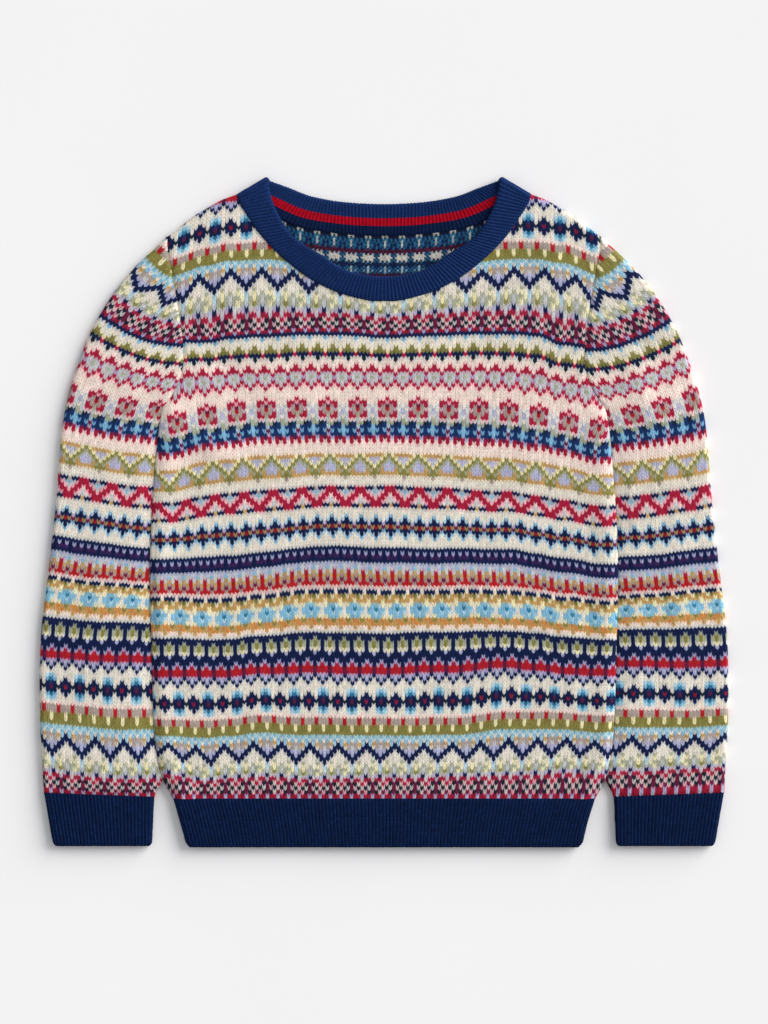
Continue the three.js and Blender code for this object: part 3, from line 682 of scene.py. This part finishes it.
def panel_place(sizes, front):
    """Lays out the front or the back panel."""
    folds = FRONT_FOLDS if front else BACK_FOLDS
    middle = sizes.wall + sizes.lay / 2
    seam = band_edges(NECK_FRONT if front else NECK_BACK, NECK_FRONT_MIDDLE if front else NECK_BACK_MIDDLE)[0]

    def place(column, row, relief):
        centre = body_row(row)
        x = middle_column(centre) + column * stitch_width(centre)
        y = centre - lean(x, centre)
        x = middle_column(y) + column * stitch_width(y)
        dx, dy = sway(x, y, 0.7 if front else 2.1)
        fade = ease(-214, -196, y)
        x, y = x + dx * fade, y + dy * fade
        gone = y < LEAST_Y
        y = np.maximum(y, LEAST_Y)
        half = body_half(y)
        gone |= np.abs(x) > half
        x = np.clip(x, -half, half)
        top = shoulder_y(np.abs(x))
        gone |= y > top
        y = np.minimum(y, top)
        flat = cut_neck(np.stack([x, y, 0 * x], -1), seam)
        gone |= (flat[..., 0] != x) | (flat[..., 1] != y)
        x, y = flat[..., 0], flat[..., 1]
        inset = body_half(y) - np.abs(x)
        sewn = ease(UNDERARM_Y - 4, UNDERARM_Y + 8, y)
        side = quarter_round(inset, middle) * (1 - sewn) + sewn
        round_share = np.minimum(side, quarter_round(top - y, middle))
        roll = np.clip((inset - sizes.wall) / ROLL_WIDTH, 0, 1)
        lift = ROLL_HEIGHT * np.sin(np.pi * np.sqrt(roll)) ** 2 * (1 - sewn)
        lift = lift + fold_lift(x, y, folds) * np.minimum(inset / 26, 1) * ease(-214, -190, y)
        groove = (ARMHOLE_GROOVE * sewn * bell(inset, ARMHOLE_WIDTH)
                  + HEM_GROOVE * bell(y - HEM_SEAM_Y, SEAM_WIDTH))
        height = (EDGE_LIP + (middle - EDGE_LIP) * round_share
                  + relief * round_share * ease(0, 0.9, inset) - groove)
        if front:
            z = middle + height + lift
        else:
            z = np.maximum(middle - height + 0.35 + np.clip(lift, 0, 1) * 0.4, 0.0)
        return np.stack([x, y, z, gone], -1)

    return place


def inside_back(sizes, colours):
    """The wrong side of the back panel where it shows through the neck, its yarns darkened as painted shade.
    Its rows follow the neckline.
    """
    random = np.random.default_rng(31)
    step, rise = 1.594, 1.37
    columns, rows = 128, len(INSIDE_ROWS)
    seam = band_edges(NECK_BACK, NECK_BACK_MIDDLE)[0]
    order = np.argsort(seam[:, 0])
    across = (np.arange(columns + 1) - columns / 2) * step
    down = np.arange(-1, rows) * rise
    x, drop = np.meshgrid(across, down)
    droop = 1 - 0.5 * drop / down[-1]
    neck = np.interp(x, seam[order, 0], seam[order, 1])
    y = NECK_BACK_MIDDLE[0][1] + (neck - NECK_BACK_MIDDLE[0][1]) * droop - drop
    parity = np.where(np.arange(columns + 1) % 2, 1, -1)[None]
    y = y + 0.45 * parity + 0.10 * random.standard_normal(x.shape)
    z = sizes.wall - 0.2 + 0.30 * parity * np.where(np.arange(rows + 1) % 2, 1, -1)[:, None]
    z = z + 0.10 * random.standard_normal(x.shape)
    letters = np.array([[INSIDE_ROWS[j][(i - columns // 2) % 8] for i in range(columns)]
                        for j in range(rows)])
    # The 0.72 on the yarns is painted shade inside the neck hollow.
    shades = stitch_colours(letters, colours, random, 0.14) * 0.72
    loops = np.zeros((rows * columns, 4, 3))
    loops[..., 0] = (-1, 1, 1, -1)
    loops[..., 1] = (-1, -1, 1, 1)
    loops[..., 2] = random.random(rows * columns)[:, None]
    points = np.stack([x, y, z], -1).reshape(-1, 3)
    return points, grid_quads(rows + 1, columns + 1, flip=True), blend(shades, sizes.halo, True), loops


def settings(context):
    return context.scene.jumper_sizes, context.scene.jumper_wools


def finish_piece(obj, node):
    """Puts a piece on the frame in place of its plain solid."""
    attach(obj, "root")
    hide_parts(node)


class JUMPER_OT_back_panel(bpy.types.Operator):
    """Knit the back panel, with its wrong side inside the neck"""

    bl_idname = "jumper.back_panel"
    bl_label = "Back panel"

    def execute(self, context):
        sizes, wools = settings(context)
        colours = yarn_colours(wools)
        obj = knit("back_panel_knit", -68, 69, 166, panel_place(sizes, False), chart_rows(), colours, 11,
                   sizes, wool("patterned_wool_back"), flip=True, extra=inside_back(sizes, colours))
        finish_piece(obj, "back_panel")
        return {"FINISHED"}


class JUMPER_OT_front_panel(bpy.types.Operator):
    """Knit the front panel"""

    bl_idname = "jumper.front_panel"
    bl_label = "Front panel"

    def execute(self, context):
        sizes, wools = settings(context)
        obj = knit("front_panel_knit", -68, 69, 166, panel_place(sizes, True), chart_rows(),
                   yarn_colours(wools), 12, sizes, wool("patterned_wool_front"))
        finish_piece(obj, "front_panel")
        return {"FINISHED"}


# ---- sleeves


ARMHOLE_TUCK = 2  # of the sleeve under the body's edge
WEDGE = 6.2  # between the sleeve and the body at the cuff
HUG, HUG_WIDTH = 0.55, 8  # how far the sleeve dips beside the body
CUFF_GROOVE = 1.5


def sleeve_place(sizes, side):
    """Lays out a sleeve round its outer fold, top layer and underside."""
    table = SLEEVE_ROWS[side]
    out_height = smooth([(row[0], row[1]) for row in table])
    in_height = smooth([(row[0], row[2]) for row in table])
    sag_by_row = smooth([(row[0], row[3]) for row in table])
    width = smooth(SLEEVE_STITCH[side])
    fold_column = smooth(SLEEVE_FOLD_COLUMN[side])
    radius = sizes.wall + sizes.lay / 2

    def place(column, row, relief):
        out_y, in_y = out_height(row), in_height(row)
        out_x = sleeve_fold_x(out_y)
        in_x = body_half(np.clip(in_y, SLEEVE_FREE_Y, 205)) - 0.6 - 1.4 * ease(60, 90, in_y)
        in_x = in_x + WEDGE * ease(SLEEVE_FREE_Y, HEM_SEAM_Y, in_y)
        length = np.maximum(np.hypot(in_x - out_x, in_y - out_y), 1e-6)
        reach = (column - fold_column(row)) * width(row)
        over = np.where(reach >= 0, 1.0, -1.0)
        reach = np.abs(reach)
        quarter = radius * np.pi / 2
        turn = np.clip(reach / radius, 0, np.pi / 2)
        inset = np.where(reach < quarter, radius * (1 - np.cos(turn)), reach - quarter + radius)
        rise = np.where(reach < quarter, np.sin(turn), 1.0)
        room = np.minimum(radius, length / 2)
        past = np.clip((inset - (length - room)) / room, 0, 1)
        gone = inset >= length
        inset = np.minimum(inset, length)
        sewn = ease(UNDERARM_Y - 6, UNDERARM_Y + 10, in_y)
        rise = rise * np.maximum(np.sqrt(1 - past**2), 0.35 * sewn)
        hug = 1 - HUG * bell(length - inset, HUG_WIDTH) * (1 - sewn)
        rise = rise * np.where(over > 0, hug, 1.0)
        share = inset / length
        sag = sag_by_row(row) * np.sin(np.pi * np.clip(share, 0, 1))
        x = out_x + (in_x - out_x) * share
        y = out_y + (in_y - out_y) * share - sag
        dx, dy = sway(side * x, y, 1.3 + 0.8 * side)
        fade = np.minimum(inset / 6, 1) * np.minimum((length - inset) / 6, 1) * ease(-212, -196, y)
        x, y = x + dx * fade, y + dy * fade
        y = np.maximum(y, -214.6)
        tucked = (y > UNDERARM_Y) & (x < body_half(y) - ARMHOLE_TUCK)
        gone |= tucked
        x = np.where(tucked, body_half(y) - ARMHOLE_TUCK, x)
        x = x + relief * (1 - rise) * np.clip(1 - inset / radius, 0, 1)
        lift = fold_lift(side * x, y, SLEEVE_FOLDS[side]) * np.sin(np.pi * np.clip(share, 0, 1))
        lift = lift * ease(-212, -190, y) * ease(205, 170, y) * (over > 0)
        z = radius + over * rise * (radius + relief) + lift * rise
        z = z - CUFF_GROOVE * ease(-208.5, -212.5, y) * np.clip(over, 0, 1) * rise
        z = np.where(over < 0, np.maximum(z + 0.2, 0.0), z)
        return np.stack([side * x, y, z, gone], -1)

    return place


class JUMPER_OT_sleeves(bpy.types.Operator):
    """Knit both sleeves, each folded along its outer edge"""

    bl_idname = "jumper.sleeves"
    bl_label = "Sleeves"

    def execute(self, context):
        sizes, wools = settings(context)
        colours = yarn_colours(wools)
        for name, side in (("right", -1), ("left", 1)):
            obj = knit(f"sleeve_{name}_knit", -38, 39, 153, sleeve_place(sizes, side), chart_rows(),
                       colours, 20 + side, sizes, wool("patterned_wool_sleeve"), flip=side < 0)
            finish_piece(obj, f"sleeve_{name}")
        return {"FINISHED"}


# ---- ribs


RIB_SHAPE = np.array([-0.5, 0.2, 0.5, 0.2])  # across one rib, as a share of its depth
RIB_ROW = 2.75
RIB_WANDER = 0.04
TURNED_ROWS = (1, 2, 3)
HEM_ROWS = 13
HEM_WIDTH = 306
HEM_TURN = 1.6
CUFF_WIDTH = 80
CUFF_DEPTH = 38.5


def rib_colours(colour, shape, random):
    """Navy rib stitches, each a little different."""
    shades = np.broadcast_to(linear(colour), shape + (3,))
    bright = np.repeat(1 + 0.10 * random.standard_normal((shape[0], shape[1] // 4 + 1)), 4, axis=1)
    return (shades * bright[:, :shape[1], None]).reshape(-1, 1, 3)


def strayed(points, random):
    """Rib points moved a little, and kept above the surface they lie on."""
    points = points + RIB_WANDER * random.standard_normal(points.shape)
    points[..., 2] = np.maximum(points[..., 2], 0.0)
    return points


def hem_rib(name, sizes, wools, front):
    """A rib across the hem, turned in round its lower edge."""
    random = np.random.default_rng(41 if front else 42)
    ribs = int(round(HEM_WIDTH / sizes.rib_width))
    lines = STRIPS * ribs + 1
    middle = sizes.rib_wall + sizes.lay / 2
    down = [(HEM_SEAM_Y - 0.2 - RIB_ROW * k, 1.0) for k in range(HEM_ROWS)]
    curl = [(HEM_EDGE_Y + HEM_TURN * (1 - math.sin(a)), 0.5 + 0.5 * math.cos(a))
            for a in np.linspace(0, np.pi, 7)]
    turned = [(HEM_EDGE_Y + HEM_TURN + RIB_ROW * k, 0.0) for k in TURNED_ROWS]
    path = np.array(down + curl + turned)
    across, y = np.meshgrid(np.linspace(-1, 1, lines), path[:, 0])
    share = np.broadcast_to(path[:, 1:2], across.shape)
    corner = 2.2 * ease(HEM_EDGE_Y + 3.2, HEM_EDGE_Y, y)
    half = hem_half(y) - corner * ease(0.94, 1, np.abs(across))
    x = across * half + 0.12 * np.sin(0.21 * y + 9 * across)
    round_share = quarter_round((1 - np.abs(across)) * half, middle)
    shape = RIB_SHAPE[np.arange(lines) % STRIPS] * sizes.rib_depth
    outer = (middle - sizes.lay / 2) * round_share
    seam = np.exp(-(((y - HEM_SEAM_Y) / 1.5) ** 2))
    z = sizes.lay / 2 + np.maximum(outer * share, 0.05) + shape * (share - 0.3) * round_share - 0.5 * seam
    z = z + 0.25 * np.sin(0.043 * x + 1.7) * share * ease(HEM_SEAM_Y, HEM_SEAM_Y - 12, y)
    z = middle + z if front else np.maximum(middle - z + 0.15, 0.0)
    points = strayed(np.stack([x, y, z], -1), random)
    rows, columns = x.shape
    return mesh_object(name, points.reshape(-1, 3), grid_quads(rows, columns, flip=front),
                       rib_colours(wools.rib, (rows - 1, columns - 1), random),
                       leg_coordinates(rows - 1, columns - 1, random, flip=front),
                       wool("navy_rib_wool", RIBBED))


class JUMPER_OT_hem_ribs(bpy.types.Operator):
    """Knit the rib of the hem, front and back"""

    bl_idname = "jumper.hem_ribs"
    bl_label = "Hem ribs"

    def execute(self, context):
        sizes, wools = settings(context)
        for name, front, under in (("back", False, "floor"), ("front", True, "hem_back_rib")):
            obj = hem_rib(f"hem_{name}_rib", sizes, wools, front)
            finish_piece(obj, f"hem_rib_{name}")
        return {"FINISHED"}


def cuff_rib(name, sizes, wools, side):
    """A ribbed tube, flattened, and turned in round its open end."""
    random = np.random.default_rng(50 + side)
    radius = sizes.rib_wall + sizes.lay / 2
    step = RIB_ROW / CUFF_DEPTH
    path = [(k * step, 1.0) for k in range(14)]
    path += [(1 - 0.04 * (1 - math.sin(a)), 0.5 + 0.5 * math.cos(a)) for a in np.linspace(0.1, np.pi, 6)]
    path += [(0.96 - k * step, 0.0) for k in TURNED_ROWS]
    down, depth = (np.array(column)[:, None] for column in zip(*path))
    lines = 2 * STRIPS * int(round(CUFF_WIDTH / sizes.rib_width))
    (out_x, out_y), (in_x, in_y) = (
        [top[i] + (end[i] - top[i]) * down for i in (0, 1)] for top, end in zip(CUFF_TOP, CUFF_END))
    length = np.hypot(in_x - out_x, in_y - out_y)
    wall = sizes.rib_wall * (1 - depth)
    # Round the tube: along the top, round the inner edge, back underneath, and round the outer edge.
    run, arc = length - 2 * radius, np.pi * radius
    s = np.arange(lines) / lines * (2 * run + 2 * np.pi * radius)
    parts = [s < run, s < run + arc, s < 2 * run + arc]
    angle = np.select(parts, [np.pi / 2, np.pi / 2 - (s - run) / radius, -np.pi / 2],
                      -np.pi / 2 - (s - 2 * run - arc) / radius)
    centre = np.select(parts, [radius + s, length - radius + 0 * s, length - radius - (s - run - arc)],
                       radius)
    shape = RIB_SHAPE[np.arange(lines) % STRIPS] * sizes.rib_depth * (depth - 0.3)
    thick = np.maximum(radius - wall + shape, 0.1)
    inset = centre + np.cos(angle) * thick
    z = radius + np.sin(angle) * thick
    share = inset / length
    x = out_x + (in_x - out_x) * share
    y = out_y + (in_y - out_y) * share
    corner = 1 - quarter_round(np.minimum(inset, length - inset), 3.2)
    y = y + 2.0 * corner * ease(0.86, 1, down)
    points = strayed(np.stack([side * x, y, np.maximum(z, 0.0)], -1), random)
    rows, columns = x.shape
    flip = side > 0
    return mesh_object(name, points.reshape(-1, 3), grid_quads(rows, columns, flip, wrap=True),
                       rib_colours(wools.rib, (rows - 1, columns), random),
                       leg_coordinates(rows - 1, columns, random, flip), wool("navy_rib_wool", RIBBED))


class JUMPER_OT_cuffs(bpy.types.Operator):
    """Knit both cuffs as ribbed tubes"""

    bl_idname = "jumper.cuffs"
    bl_label = "Cuffs"

    def execute(self, context):
        sizes, wools = settings(context)
        for name, side in (("right", -1), ("left", 1)):
            obj = cuff_rib(f"cuff_{name}_rib", sizes, wools, side)
            finish_piece(obj, f"cuff_{name}")
        return {"FINISHED"}


TURN_STEPS = 12


def band_stations(sizes):
    """Places round the neckband, four to a rib: seam edge, free edge, and the way its outer face looks."""
    middle = sizes.band_wall + sizes.lay / 2
    radius = (sizes.band_wall + sizes.lay) / 2
    front_seam, front_free = band_edges(NECK_FRONT, NECK_FRONT_MIDDLE)
    back_seam, back_free = band_edges(NECK_BACK, NECK_BACK_MIDDLE)
    t = np.linspace(0, 1, len(front_seam))
    up = np.array([0.0, 0.0, 1.0])
    stations = []

    def add(seam, free, seam_z, free_z, normal):
        stations.append(np.concatenate([seam, [seam_z], free, [free_z], normal]))

    def turn_over(side):
        out = FOLD_OUT * (-side, 1)
        end = -1 if side > 0 else 0
        for k in range(1, TURN_STEPS):
            turn = math.pi * (k / TURN_STEPS if side > 0 else 1 - k / TURN_STEPS)
            normal = np.array([*(out * math.sin(turn)), math.cos(turn)])
            shift = normal * radius
            add(front_seam[end] + shift[:2], front_free[end] + shift[:2], middle + shift[2],
                middle + shift[2], normal)

    for k in range(len(t)):
        lift = sizes.band_lift * math.sin(math.pi * t[k])
        add(front_seam[k], front_free[k], middle + radius, middle + radius + lift, up)
    turn_over(1)
    for k in reversed(range(len(t))):
        add(back_seam[k], back_free[k], middle - radius, middle - radius, -up)
    turn_over(-1)
    ring = np.array(stations + stations[:1])
    centre = (ring[:, :3] + ring[:, 3:6]) / 2
    travel = np.concatenate([[0], np.cumsum(np.linalg.norm(np.diff(centre, axis=0), axis=1))])
    ribs = int(round(travel[-1] / sizes.rib_width))
    at = np.arange(STRIPS * ribs) / (STRIPS * ribs) * travel[-1]
    ring = np.stack([np.interp(at, travel, ring[:, i]) for i in range(9)], 1)
    return ring[:, :3], ring[:, 3:6], ring[:, 6:9] / np.linalg.norm(ring[:, 6:9], axis=1)[:, None]


# Lines along the band from the seam to the free edge, as shares of its width.
BAND_LINES = [0, 0.035, 0.09, 0.2, 0.32, 0.44, 0.56, 0.72, 0.84, 0.93, 0.975, 1.0]
BAND_OVERLAP = 1.1  # over the edge of the panels
BELOW_STRIPE = 0.5  # how dark the band is between the stripe and the seam


def neckband(sizes, wools):
    """The ribbed neckband, one ring with a red stripe inside the back."""
    random = np.random.default_rng(61)
    seam, free, normal = band_stations(sizes)
    chord = free - seam
    seam = seam - chord / np.linalg.norm(chord, axis=1)[:, None] * BAND_OVERLAP
    chord = free - seam
    width = np.linalg.norm(chord, axis=1)[:, None]
    half = sizes.band_wall / 2
    share = np.array(BAND_LINES + BAND_LINES[-2:0:-1])
    face = np.where(np.arange(len(share)) < len(BAND_LINES), 1, -1)
    face[[0, len(BAND_LINES) - 1]] = 0
    bulge = quarter_round(np.minimum(share, 1 - share) * width, half)
    shape = RIB_SHAPE[np.arange(len(seam)) % STRIPS][:, None] * sizes.rib_depth * 0.75
    offset = face * half * bulge + np.abs(face) * shape * (0.35 + 0.65 * bulge)
    points = seam[:, None] + chord[:, None] * share[None, :, None] + normal[:, None] * offset[..., None]
    push = (face == 0) * np.where(share > 0.5, 1, -1) * (shape * 0.5)
    points += (chord / width)[:, None] * push[..., None]
    points = strayed(points, random)

    stations, around = points.shape[:2]
    j, i = np.meshgrid(np.arange(stations), np.arange(around), indexing="ij")
    k, m = (j + 1) % stations, (i + 1) % around
    quads = np.stack([j * around + m, k * around + m, k * around + i, j * around + i], -1)
    loops = np.full(quads.shape + (3,), 0.5)
    loops[..., 0] = LEG_ACROSS[j % STRIPS][..., [0, 1, 1, 0]]
    loops[..., 1] = (1, 1, -1, -1)
    tone = 1 + 0.08 * random.standard_normal((stations, around))
    inside = (normal[:, 2] < -0.5)[:, None] & ((face[i] < 0) | (face[m] < 0))
    height = (share[i] + share[m]) / 2
    stripe = inside & (height > sizes.stripe_from) & (height < sizes.stripe_to)
    below = inside & (height <= sizes.stripe_from)
    shades = np.where(stripe[..., None], linear(wools.stripe), linear(wools.neck))
    shades = shades * (np.where(below, BELOW_STRIPE, 1) * tone)[..., None]
    return mesh_object("neckband_rib", points.reshape(-1, 3), quads.reshape(-1, 4),
                       shades.reshape(-1, 1, 3), loops.reshape(-1, 4, 3),
                       wool("navy_neckband_wool", NECK_RIBBED))


class JUMPER_OT_neckband(bpy.types.Operator):
    """Knit the neckband as one ribbed ring"""

    bl_idname = "jumper.neckband"
    bl_label = "Neckband"

    def execute(self, context):
        sizes, wools = settings(context)
        obj = neckband(sizes, wools)
        finish_piece(obj, "neckband")
        return {"FINISHED"}


# ---- stage


class JUMPER_OT_stage(bpy.types.Operator):
    """Set the pale floor, the soft light and the camera"""

    bl_idname = "jumper.stage"
    bl_label = "Stage"

    def execute(self, context):
        scene = context.scene
        mesh = bpy.data.meshes.new("floor")
        reach, below = 3.0, -0.0003
        mesh.from_pydata([(x * reach, y * reach, below) for x, y in ((-1, -1), (1, -1), (1, 1), (-1, 1))],
                         [], [(0, 1, 2, 3)])
        floor = bpy.data.objects.new("floor", mesh)
        scene.collection.objects.link(floor)
        bench = NodeBench("pale_floor")
        tone = bench.spread(bench.noise(3.0, 2.0), 0.3, 0.7, 0.885, 0.9)
        bench.put(bench.shader.inputs["Base Color"], bench.grey(tone))
        bench.shader.inputs["Roughness"].default_value = 0.8
        bench.shader.inputs["Specular IOR Level"].default_value = 0.2
        mesh.materials.append(bench.material)

        world = bpy.data.worlds.new("soft_room")
        world.use_nodes = True
        world.node_tree.nodes["Background"].inputs[0].default_value = (0.96, 0.97, 1.0, 1.0)
        world.node_tree.nodes["Background"].inputs[1].default_value = 0.50
        scene.world = world
        sun = bpy.data.lights.new("window_light", "SUN")
        sun.energy, sun.angle, sun.color = 4.8, math.radians(56), (1.0, 0.982, 0.975)
        lamp = bpy.data.objects.new("window_light", sun)
        lamp.location = (1.25, 0.85, 0.55)
        lamp.rotation_euler = (-lamp.location).to_track_quat("-Z", "Y").to_euler()
        scene.collection.objects.link(lamp)

        camera = bpy.data.cameras.new("overhead_camera")
        camera.type, camera.lens = "PERSP", 100
        camera.sensor_fit, camera.sensor_height, camera.sensor_width = "VERTICAL", 36, 36
        overhead = bpy.data.objects.new("overhead_camera", camera)
        overhead.location = (0.0, 0.0, 0.005 + 0.768 * 100 / 36)
        scene.collection.objects.link(overhead)
        scene.camera = overhead
        scene.view_settings.view_transform = "Standard"
        return {"FINISHED"}


# ---- the add-on


PIECES = (JUMPER_OT_back_panel, JUMPER_OT_front_panel, JUMPER_OT_sleeves, JUMPER_OT_hem_ribs,
          JUMPER_OT_cuffs, JUMPER_OT_neckband, JUMPER_OT_stage)


class JUMPER_PT_sidebar(bpy.types.Panel):
    """Lists the pieces, the sizes and the yarns"""

    bl_idname = "JUMPER_PT_sidebar"
    bl_label = "Fair Isle Jumper"
    bl_space_type = "VIEW_3D"
    bl_region_type = "UI"
    bl_category = "Jumper"

    def draw(self, context):
        for piece in PIECES:
            self.layout.operator(piece.bl_idname)
        for group in (context.scene.jumper_sizes, context.scene.jumper_wools):
            box = self.layout.box()
            for name in group.__annotations__:
                box.prop(group, name)


CLASSES = (JumperSizes, JumperWools, *PIECES, JUMPER_PT_sidebar)


def register():
    for cls in CLASSES:
        bpy.utils.register_class(cls)
    bpy.types.Scene.jumper_sizes = bpy.props.PointerProperty(type=JumperSizes)
    bpy.types.Scene.jumper_wools = bpy.props.PointerProperty(type=JumperWools)


def unregister():
    del bpy.types.Scene.jumper_wools
    del bpy.types.Scene.jumper_sizes
    for cls in reversed(CLASSES):
        bpy.utils.unregister_class(cls)


def main():
    register()
    for piece in PIECES:
        group, name = piece.bl_idname.split(".")
        getattr(getattr(bpy.ops, group), name)()


if __name__ == "__main__":
    main()
